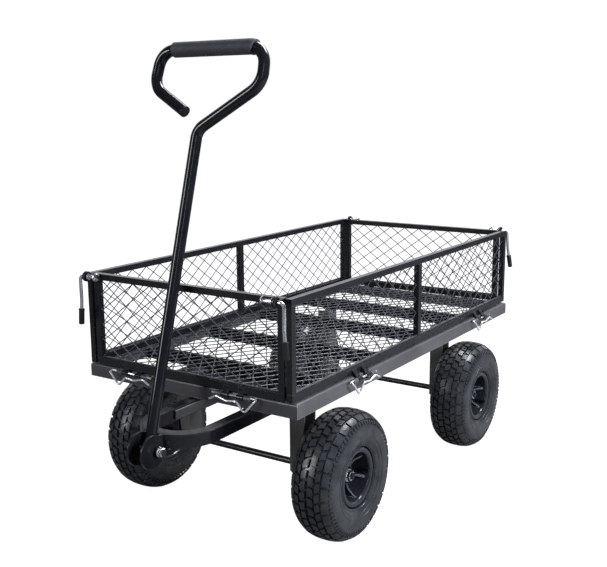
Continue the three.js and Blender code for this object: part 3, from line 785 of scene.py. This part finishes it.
def latch_rod():
    """A zinc rod bent down through the eye, with a domed head and a washer on its inner end."""
    path = bent_mm(LEVER_LINE)
    path[-1] = path[-1].lerp(path[-2], 0.45)
    made = sweep(Shape(), path, 3.4 * MM, 20, round_end=1 * MM)
    lathe(made, mm((1.2, 196), (4.4, 196.1), (7.2, 196.9), (8.3, 198.6), (8.3, 200.5)), 24)
    return lathe(made, mm((6.5, 218), (6.5, 219.6)), 24)


def latch_sleeve():
    """A dipped rubber sleeve with a rolled lip, over the end of the lever."""
    hip, foot = (Vector(point) * MM for point, _ in LEVER_LINE[2:])
    start = hip.lerp(foot, 0.42)
    made = sweep(Shape(), [start, start.lerp(foot, 0.5), foot], 5.6 * MM, 24, round_end=1.6 * MM)
    return sweep(made, [start, start.lerp(foot, 0.08)], 6.1 * MM, 24, round_end=0.6 * MM)


# A wire hairpin: the hinge pin, a turn, a V and a wavy spring leg. Each corner is (out, along, up)
# about the hinge axis and a bend radius, in millimetres.
HAIRPIN = (
    ((0, 48, 0), 0),
    ((0, -52, 2), 2.8),
    ((7.4, -53, 0), 2.8),
    ((7.4, -30, -25), 6),
    ((7.4, -12, -6), 9),
    ((7.4, 10, -9), 12),
    ((7.4, 34, -3), 8),
    ((7.4, 49, -11), 0),
)


def hinge_clips():
    """A hairpin in every hinge. The second on each end is turned round."""
    wire = sweep(Shape(), bent_mm(HAIRPIN, 6), 2.1 * MM, 12, round_end=0.8 * MM)
    flipped = wire.moved(Matrix.Diagonal((1, -1, 1, 1)))
    for where, faces, stations in HINGE_ROWS:
        for name, sign in faces:
            for i, along in enumerate(stations):
                hairpin = flipped if where == "end" and i == 1 else wire
                made = hairpin.moved(hinge_frame(where, sign, along))
                cad = [f"hinge_clip_{name}_{i + 1}"]
                piece(f"hinge_hairpin_{name}_{i + 1}", made, CLIP_ZINC, "chassis", cad)


# ---- wheels ----

TYRE_LOW, TYRE_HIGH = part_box("tyre_rear_right")
TYRE_RADIUS = (TYRE_HIGH.z - TYRE_LOW.z) / 2
TYRE_HALF = (TYRE_HIGH.x - TYRE_LOW.x) / 2
CARCASS_HALF = TYRE_HALF - 0.6 * MM
SIDEWALL_FALL = 8.6 * MM
BLOCK_HEIGHT = 4.6 * MM
BEAD_RADIUS = 60.6 * MM
BELLY_RADIUS = 90 * MM
TREAD_COUNT = 40
LUG_COUNT = 28
SHOULDER_RIB_COUNT = 72
SIDEWALL_RINGS = mm((63.5, 1.1), (72, 0.6), (81, 0.6))  # (radius, thickness)


def carcass(angle):
    """The tyre's outline: (radius, x) at an angle from the crown, 90 degrees at the widest point."""
    a = math.radians(angle)
    power = 0.82
    x = CARCASS_HALF * math.copysign(abs(math.sin(a)) ** power, a)
    radius = BELLY_RADIUS + (TYRE_RADIUS - BLOCK_HEIGHT - BELLY_RADIUS) * abs(math.cos(a)) ** power
    return radius, x


def sidewall(radius):
    """How far the sidewall stands out at a radius between the belly and the bead."""
    share = (BELLY_RADIUS - radius) / (BELLY_RADIUS - BEAD_RADIUS)
    return CARCASS_HALF - SIDEWALL_FALL * share**2.2


def tyre_profile():
    upper = [carcass(a) for a in range(-90, 91, 6)]
    steps = 7
    radii = [BELLY_RADIUS + (BEAD_RADIUS - BELLY_RADIUS) * k / steps for k in range(1, steps + 1)]
    lower = [(radius, sidewall(radius)) for radius in radii]
    left = [(radius, -x) for radius, x in reversed(lower)]
    half, wall = 30 * MM, BEAD_RADIUS + 6 * MM
    inner = [(BEAD_RADIUS, half), (wall, half - 1 * MM), (wall, 1 * MM - half), (BEAD_RADIUS, -half)]
    return left + upper + lower + inner


def tread_block(shape, angle_low, angle_high, turn, width, skew, height):
    """A raised block on the carcass between two profile angles, centred on a turn about the axle."""
    steps, rows = 2, 3
    limit = TYRE_HALF - 0.1 * MM
    grid = {}
    for level, (shrink, lift) in enumerate(((1.0, -0.4 * MM), (0.9, height))):
        for i in range(rows + 1):
            share = (i / rows - 0.5) * shrink + 0.5
            angle = angle_low + (angle_high - angle_low) * share
            radius, x = carcass(angle)
            behind, ahead = carcass(angle - 1), carcass(angle + 1)
            slope = Vector((ahead[0] - behind[0], ahead[1] - behind[1])).normalized()
            x = max(-limit, min(limit, x - slope.x * lift))
            radius = min(radius + slope.y * lift, TYRE_RADIUS)
            for j in range(steps + 1):
                around = turn + (j / steps - 0.5) * width * shrink + skew * (share - 0.5)
                grid[level, i, j] = (x, radius * math.cos(around), radius * math.sin(around))
    keys = list(grid)
    index = {key: n for n, key in enumerate(keys)}
    faces = []
    for i in range(rows):
        for j in range(steps):
            faces.append([index[1, i, j], index[1, i + 1, j], index[1, i + 1, j + 1], index[1, i, j + 1]])
    rim = [(i, 0) for i in range(rows + 1)] + [(rows, j) for j in range(1, steps + 1)]
    rim += [(i, steps) for i in range(rows - 1, -1, -1)] + [(0, j) for j in range(steps - 1, 0, -1)]
    for a, b in zip(rim, rim[1:] + rim[:1]):
        faces.append([index[0, *a], index[0, *b], index[1, *b], index[1, *a]])
    faces.append([index[0, *a] for a in reversed(rim)])
    shape.add([grid[key] for key in keys], faces)


def tyre_shape():
    """Carcass, three rows of blocks a side and fine rings on the sidewall."""
    made = lathe(Shape(), tyre_profile(), 108, closed=True)
    rows = (
        # count, shift, inner angle, outer angle, share of the pitch, skew, height
        (TREAD_COUNT, 0, 1.4, 13, 0.8, 0.03, BLOCK_HEIGHT),
        (TREAD_COUNT, 0.5, 16, 28.5, 0.8, -0.03, BLOCK_HEIGHT),
        (LUG_COUNT, 0.25, 32, 53, 0.9, 0.0, BLOCK_HEIGHT * 0.85),
        (SHOULDER_RIB_COUNT, 0, 56, 69, 0.55, 0.0, 2 * MM),
    )
    for count, shift, low, high, share, skew, height in rows:
        pitch = 2 * math.pi / count
        for k in range(count):
            for sign in (-1, 1):
                turn = pitch * (k + shift + (0.5 if sign > 0 else 0))
                angles = sorted((sign * low, sign * high))
                tread_block(made, *angles, turn, pitch * share, sign * skew, height)
    for sign in (-1, 1):
        for radius, width in SIDEWALL_RINGS:
            bead = arc((radius, sign * sidewall(radius)), width, 0, 360, 8)[:-1]
            lathe(made, bead, 108, closed=True)
    return made


RIM_OUTSIDE = mm(
    (19.9, -8), (22, -9), (40, -7), (43.5, -4), (45, 4), (46.6, 29.9), (47.2, 33.4), (48.8, 36.1),
    (51.5, 37.5), (54.4, 37.9), (57, 37.1), (58.6, 35.3), (59, 32.9),
)
RIM_INSIDE = mm((59, -33.9), (59, -37.9), (55, -37.9), (52, -33.9))
RIM_BACK = mm((49, -14), (44, -13), (22, -14), (19.9, -14))
RIB = mm((19.9, -10), (45, -10), (47.6, 26), (44, 24), (33, 13), (24, 9.5), (19.9, 9.5))
RIB_COUNT = 6
RIB_TURN = math.radians(40)


def rim_shape():
    """A moulded rim: broad rounded lip, deep barrel, and ribs from the barrel to the hub's socket."""
    made = lathe(Shape(), (RIM_OUTSIDE + RIM_INSIDE + RIM_BACK)[::-1], 72, closed=True)
    rib = prism(Shape(), [(x, radius) for radius, x in RIB][::-1], -2 * MM, 2 * MM, "z")
    for k in range(RIB_COUNT):
        made.join(rib.moved(Matrix.Rotation(2 * math.pi * k / RIB_COUNT + RIB_TURN, 4, "X")))
    return made


def hub_shape():
    """The hub tube with a pressed-in bearing in its outer mouth."""
    profile = mm(
        (7.2, -30), (17.5, -30), (19.4, -28), (19.4, 10.5), (18, 12.8),
        (15.6, 12.8), (15.2, 11), (13.8, 11), (13.4, 12.4), (7.2, 12.4),
    )
    return lathe(Shape(), profile, 40, closed=True)


def valve_shape():
    """A bent rubber stem with a cap."""
    path = bent_mm((((14, 46, 0), 0), ((26, 43, 0), 6), ((38, 41, 0), 0)), 4)
    made = sweep(Shape(), path[:-1], 2.6 * MM, 14)
    return sweep(made, path[-2:], 3.6 * MM, 14, round_end=0.8 * MM)


WHEEL_TURNS = {"front_left": 0.5, "front_right": 0.0, "rear_left": 1.1, "rear_right": -0.6}


def wheels():
    tyre, rim, hub, valve = tyre_shape(), rim_shape(), hub_shape(), valve_shape()
    for end, _ in ENDS:
        for side, sign in SIDES:
            where = f"{end}_{side}"
            body = f"wheel_{where}"
            turn = Matrix.Rotation(WHEEL_TURNS[where], 4, "X")
            place = Matrix.Translation(joint_place(body + "_spin")) @ turn
            if sign < 0:
                place = place @ Matrix.Rotation(math.pi, 4, "Z")
            piece(f"knobbly_tyre_{where}", tyre.moved(place), TYRE_RUBBER, body, [f"tyre_{where}"])
            rim_here = rim.moved(place)
            piece(f"ribbed_rim_{where}", rim_here, RIM_PAINT, body, [f"rim_{where}"], bevel=0.5 * MM)
            piece(f"hub_boss_{where}", hub.moved(place), PLASTIC, body, [f"hub_{where}"])
            piece(f"tyre_valve_{where}", valve.moved(place), PLASTIC, body)


# ---- running gear ----


HUB_PLAY = 0.3 * MM
WASHER = 2.2 * MM
SHEET = 2.5 * MM


def disc(shape, radius, start, end, segments, centre):
    """A plain round slice about the X axis through centre."""
    low, high = sorted((start, end))
    return lathe(shape, [(radius, low), (radius, high)], segments, centre)


def gear_piece(name, shape, body, cad, bevel=1 * MM, paint=GEAR_PAINT):
    piece(name, shape, paint, body, cad, bevel=bevel, segments=3)


def axles():
    """Round bars with a spacer inside each hub, and a washer and nut outside it."""
    hub_low, hub_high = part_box("hub_rear_right")
    face, inner = hub_high.x + HUB_PLAY, hub_low.x - HUB_PLAY
    for end, body in (("front", "steering"), ("rear", "chassis")):
        low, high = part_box(f"{end}_axle")
        centre = Vector((0, (low.y + high.y) / 2, (low.z + high.z) / 2))
        reach = Vector((high.x - 1 * MM, 0, 0))
        bar = sweep(Shape(), [centre - reach, centre + reach], 6.7 * MM, 28, round_end=1 * MM)
        for _, sign in SIDES:
            disc(bar, 10 * MM, sign * inner, sign * (inner - 14 * MM), 28, centre)
        piece(f"{end}_axle_bar", bar, GEAR_PAINT, body, [f"{end}_axle"])
        for side, sign in SIDES:
            seat = sign * (face + WASHER)
            nut = disc(Shape(), 12.9 * MM, sign * face, seat, 32, centre)
            hex_head(nut, centre + Vector((seat, 0, 0)), sign, 18.5 * MM, 8.5 * MM)
            piece(f"{end}_axle_nut_{side}", nut, ZINC, body, bevel=0.4 * MM)


LEG_KNEE = 225 * MM


def folded_leg(name, body, sign, taper):
    """A leg of folded sheet: inner web, tapered front and rear flanges with rounded folds."""
    low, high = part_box(name)
    inner, outer = sorted((abs(low.x), abs(high.x)))
    toe, foot, top = outer - taper, low.z, high.z
    y, half = (low.y + high.y) / 2, 20 * MM
    outline = [(inner, foot + 8 * MM), (inner + 8 * MM, foot), (toe - 6 * MM, foot), (toe, foot + 6 * MM)]
    outline += [(outer, LEG_KNEE), (outer, top), (inner, top)]
    turned = [(z, sign * x) for x, z in outline]
    if sign < 0:
        turned.reverse()
    made = Shape()
    for edge in (-1, 1):
        prism(made, turned, *sorted((y + edge * half, y + edge * (half - SHEET))), "y")
    near, far = sorted((sign * inner, sign * (inner + SHEET)))
    inset = 0.2 * MM
    box(made, (near, y - half + inset, foot + 6 * MM), (far, y + half - inset, top - inset))
    gear_piece(f"{name}_folded", made, body, [name], 0.9 * MM, LIGHTENED_LEG_PAINT)


def legs():
    for side, sign in SIDES:
        folded_leg(f"front_leg_{side}", "steering", sign, 16 * MM)
        folded_leg(f"rear_leg_{side}", "chassis", sign, 12 * MM)


def steering_gear():
    """The channel over the front legs, and the round and square plates of the turntable."""
    low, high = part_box("steering_beam")
    made = Shape()
    box(made, (low.x, low.y, high.z - SHEET), (high.x, high.y, high.z))
    for y0, y1 in ((low.y, low.y + SHEET), (high.y - SHEET, high.y)):
        box(made, (low.x, y0, low.z), (high.x, y1, high.z - SHEET / 2))
    gear_piece("steering_channel", made, "steering", ["steering_beam"], 0.9 * MM)
    low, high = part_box("turntable_lower")
    profile = ring_profile(5.6 * MM, 61.6 * MM, low.z, high.z, 1.6 * MM)
    plate = lathe(Shape(), profile, 72, (0, STEER.y, 0), axis="z", closed=True)
    piece("turntable_disc", plate, GEAR_PAINT, "steering", ["turntable_lower"])
    low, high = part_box("turntable_upper")
    corner = 8 * MM
    half_x, half_y = high.x - corner, high.y - STEER.y - corner
    outline = []
    for sx, sy, start in ((1, 1, 0), (-1, 1, 90), (-1, -1, 180), (1, -1, 270)):
        outline += arc((sx * half_x, STEER.y + sy * half_y), corner, start, start + 90, 5)
    plate = prism(Shape(), outline, low.z, high.z, "z")
    cad = ["turntable_upper"]
    piece("turntable_plate", plate, BAR_PAINT, "chassis", cad, bevel=0.6 * MM)


def kingpin():
    """The pin the front end turns on: a headed bolt and its nut under the channel."""
    low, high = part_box("kingpin")
    shank = [(4.9 * MM, low.z), (4.9 * MM, high.z - 1 * MM)]
    head = 7.9 * MM
    domed = [(head, high.z - 6.8 * MM), (head, high.z - 2 * MM), (5.5 * MM, high.z)]
    nut = [(head, low.z + 3.2 * MM), (head, low.z + 9.8 * MM)]
    made = Shape()
    for profile, segments in ((shank, 24), (domed, 24), (nut, 6)):
        lathe(made, profile, segments, (0, STEER.y, 0), axis="z")
    piece("kingpin_bolt", made, ZINC, "chassis", ["kingpin"], bevel=0.4 * MM)


TONGUE_NOSE_Y = MID_Y - 495 * MM
TONGUE_TOP, TONGUE_BOTTOM = 248 * MM, 222 * MM
TONGUE_ARM = 25 * MM
TONGUE_WALL = 2.6 * MM
EAR_RADIUS = 31.3 * MM
EAR_FORWARD = 8 * MM
EAR_FACES = (14 * MM, 18.8 * MM)


def u_strip(shape, radius_in, radius_out, low, high, rear):
    """A flat U between two half widths, round its nose and straight back to rear, from low to high."""

    def u_line(half):
        return [(half, rear), *arc((0, TONGUE_NOSE_Y), half, 0, -180, 28), (-half, rear)]

    a, b = u_line(radius_in), u_line(radius_out)
    count = len(a)
    points = [(x, y, z) for z in (low, high) for line in (a, b) for x, y in line]

    def at(level, line, i):
        return (level * 2 + line) * count + i

    faces = []
    for i in range(count - 1):
        for level, order in ((1, -1), (0, 1)):
            face = [at(level, 0, i), at(level, 0, i + 1), at(level, 1, i + 1), at(level, 1, i)]
            faces.append(face[::order])
        faces.append([at(0, 0, i), at(1, 0, i), at(1, 0, i + 1), at(0, 0, i + 1)])
        faces.append([at(0, 1, i), at(0, 1, i + 1), at(1, 1, i + 1), at(1, 1, i)])
    for i, order in ((0, 1), (count - 1, -1)):
        faces.append([at(0, 0, i), at(0, 1, i), at(1, 1, i), at(1, 0, i)][::order])
    shape.add(points, faces)


def tongue():
    """A channel bent into a U, with round ear plates on its nose."""
    _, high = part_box("tongue")
    outer, rear = high.x, high.y
    inner = outer - TONGUE_ARM
    made = Shape()
    u_strip(made, inner, outer, TONGUE_TOP - TONGUE_WALL, TONGUE_TOP, rear)
    for half in (inner, outer - TONGUE_WALL):
        u_strip(made, half, half + TONGUE_WALL, TONGUE_BOTTOM, TONGUE_TOP - TONGUE_WALL / 2, rear)
    gear_piece("tongue_channel", made, "steering", ["tongue"])
    # A strap on the far arm's inner face, given the lighter tray grey as painted light on that face.
    strap = Shape()
    low = (-inner + 0.2 * MM, TONGUE_NOSE_Y + 38 * MM, TONGUE_BOTTOM + 4 * MM)
    box(strap, low, (-inner + 4 * MM, rear, TONGUE_TOP - 3 * MM))
    piece("tongue_strap_painted_light", strap, TRAY_PAINT, "steering", bevel=1 * MM)
    neck = TONGUE_NOSE_Y - inner - 2 * MM
    outline = arc((HITCH.y - EAR_FORWARD, HITCH.z), EAR_RADIUS, 57, 303, 36)
    outline += [(neck - 14 * MM, HITCH.z - 9 * MM), (neck, HITCH.z - 6 * MM), (neck, TONGUE_TOP - 1 * MM)]
    for side, sign in SIDES:
        ear = prism(Shape(), outline, *sorted(sign * face for face in EAR_FACES), "x")
        gear_piece(f"hitch_ear_{side}", ear, "steering", ())


def hitch_bolt():
    """A hexagon bolt through the ears and the handle, with a collar under its washered head."""
    face = 19.2 * MM
    collar = face + 6.5 * MM
    seat = collar + 2 * MM
    ends = [HITCH + Vector((-face - 10 * MM, 0, 0)), HITCH + Vector((collar, 0, 0))]
    made = sweep(Shape(), ends, 5.8 * MM, 24, round_end=1 * MM)
    disc(made, 9.8 * MM, collar, seat, 32, HITCH)
    hex_head(made, HITCH + Vector((seat, 0, 0)), 1, 15.4 * MM, 7.8 * MM)
    hex_head(made, HITCH + Vector((-face, 0, 0)), -1, 18.5 * MM, 8 * MM)
    piece("hitch_hex_bolt", made, ZINC, "steering", ["hitch_bolt"], bevel=0.4 * MM)
    solid = ring_profile(0, 8.4 * MM, face, collar, 0.8 * MM)[1:-1]
    spacer = lathe(Shape(), solid, 32, HITCH)
    piece("hitch_spacer", spacer, GEAR_PAINT, "steering")


# ---- handle ----

LEAN = math.atan2(0.2867, 1)
HANDLE_TUBE = 10.9 * MM
# The tube's corners as (across, up the shaft, bend radius), in millimetres.
HANDLE_CORNERS = (
    (0, -13, 0),
    (0, 585, 29),
    (131, 669, 42),
    (127, 737.5, 36),
    (-115, 737.5, 33),
    (-121, 667, 38),
    (-38, 620, 0),
)


def on_handle(x, s, out=0.0):
    """A point of the handle's plane: x across, s up the shaft from the bolt, out towards the front."""
    back, up = math.sin(LEAN), math.cos(LEAN)
    return HITCH + Vector((x, s * back - out * up, s * up + out * back))


def handle():
    """The bent tube, the foam grip on its top run and first bend, and a plug in its open end."""
    corners = [(on_handle(x * MM, s * MM), bend * MM) for x, s, bend in HANDLE_CORNERS]
    tube = sweep(Shape(), bent(corners, 14), HANDLE_TUBE, 40)
    piece("handle_bent_tube", tube, HANDLE_PAINT, "handle", ["handle_tube"], bevel=0.8 * MM)
    top = HANDLE_CORNERS[3][1] * MM
    grip_line = bent([(on_handle(-83 * MM, top), 0), corners[3], corners[2]], 40)
    grip = sweep(Shape(), first_length(grip_line, 187 * MM), 14.4 * MM, 40, round_end=1.6 * MM)
    made = piece("foam_grip", grip, FOAM, "handle", ["handle_grip"])
    end, before = corners[-1][0], corners[-2][0]
    along = (end - before).normalized()
    plug = [end + along * 0.3 * MM, end + along * 2.6 * MM]
    cap = sweep(Shape(), plug, HANDLE_TUBE, 32, round_end=1.4 * MM)
    piece("handle_end_cap", cap, PLASTIC, "handle", ["handle_end_plug"])


# ---- camera, lights, floor ----


CAMERA_PLACE = (1.1006, MID_Y - 1.7412, 0.8354)
CAMERA_TURN = (33.571, 11.246, -0.434)  # yaw, pitch and roll in degrees
CAMERA_LENS = 54.5
WALL_DIRECTION = (-0.55, 0.83, 0.05)
AIM = (0, 0, 0.3)
COOL = (0.95, 0.97, 1.0)


def camera():
    """The photograph's view: from the front right, a little above the panels."""
    yaw, pitch, roll = (math.radians(angle) for angle in CAMERA_TURN)
    back = Vector((math.sin(yaw) * math.cos(pitch), -math.cos(yaw) * math.cos(pitch), math.sin(pitch)))
    right = (-back).cross(UP).normalized()
    up = right.cross(-back)
    turned_right = right * math.cos(roll) + up * math.sin(roll)
    turned_up = up * math.cos(roll) - right * math.sin(roll)
    axes = Matrix((turned_right, turned_up, back)).transposed().to_4x4()
    data = bpy.data.cameras.new("camera")
    data.lens = CAMERA_LENS
    data.sensor_width = 36
    data.clip_end = 100
    made = bpy.data.objects.new("camera", data)
    made.matrix_world = Matrix.Translation(CAMERA_PLACE) @ axes
    bpy.context.scene.collection.objects.link(made)
    bpy.context.scene.camera = made


def area(name, place, target, size, power, colour, shiny=True):
    """A soft panel of light. One that isn't shiny lights surfaces but isn't reflected in them."""
    data = bpy.data.lights.new(name, "AREA")
    data.shape = "RECTANGLE"
    data.size, data.size_y = size
    data.energy = power
    data.color = colour
    made = bpy.data.objects.new(name, data)
    made.location = place
    made.visible_glossy = shiny
    made.rotation_euler = (Vector(target) - Vector(place)).to_track_quat("-Z", "Y").to_euler()
    bpy.context.scene.collection.objects.link(made)


def studio(tree):
    """A white background to look at, and for reflections a dim room with a white wall behind the cart."""
    direction = output(tree, "ShaderNodeTexCoord", "Generated")
    wall = ranged(tree, dot_product(tree, direction, WALL_DIRECTION), 0.35, 0.8)
    room = blend_colours(tree, wall, (0.1, 0.11, 0.13), (1.0, 1.03, 1.08))
    shown = blend_colours(tree, output(tree, "ShaderNodeLightPath", "Is Camera Ray"), room, (1.0, 1.0, 1.0))
    tree.links.new(shown, tree.nodes["Background"].inputs["Color"])


def stage():
    made = Shape()
    half = 30
    made.add([(-half, -half, 0), (half, -half, 0), (half, half, 0), (-half, half, 0)], [(0, 1, 2, 3)])
    mesh = bpy.data.meshes.new("floor")
    mesh.from_pydata(made.points, [], made.faces)
    floor_object = bpy.data.objects.new("floor", mesh)
    paper = material("floor_paper", (0.16, 0.16, 0.16), 1.0, specular=0.0)
    mesh.materials.append(paper)
    tree = paper.node_tree
    shader = tree.nodes["Principled BSDF"]
    shader.inputs["Emission Color"].default_value = (1, 1, 1, 1)
    seen = output(tree, "ShaderNodeLightPath", "Is Camera Ray")
    tree.links.new(multiplied(tree, seen, 0.96), shader.inputs["Emission Strength"])
    bpy.context.scene.collection.objects.link(floor_object)
    world = bpy.data.worlds.new("world")
    bpy.context.scene.world = world
    world.use_nodes = True
    studio(world.node_tree)
    bpy.context.scene.view_settings.view_transform = "Standard"
    area("side", (3.3, -0.2, 1.7), AIM, (1.4, 1.5), 260, COOL, shiny=False)
    area("strip", (1.9, -2.6, 1.9), (0, 0, 0.4), (0.16, 1.6), 6, (0.97, 0.98, 1.0))
    area("top", (0.3, 1.3, 2.9), AIM, (2.2, 0.9), 130, COOL)
    area("fill", (-1.6, -3.0, 1.5), (0, 0, 0.4), (0.7, 1.6), 42, (0.98, 0.99, 1.0))


camera()
stage()
tray()
cross_bars()
floor()
side_panels()
end_panels()
latches()
hinge_clips()
wheels()
axles()
legs()
steering_gear()
kingpin()
tongue()
hitch_bolt()
handle()
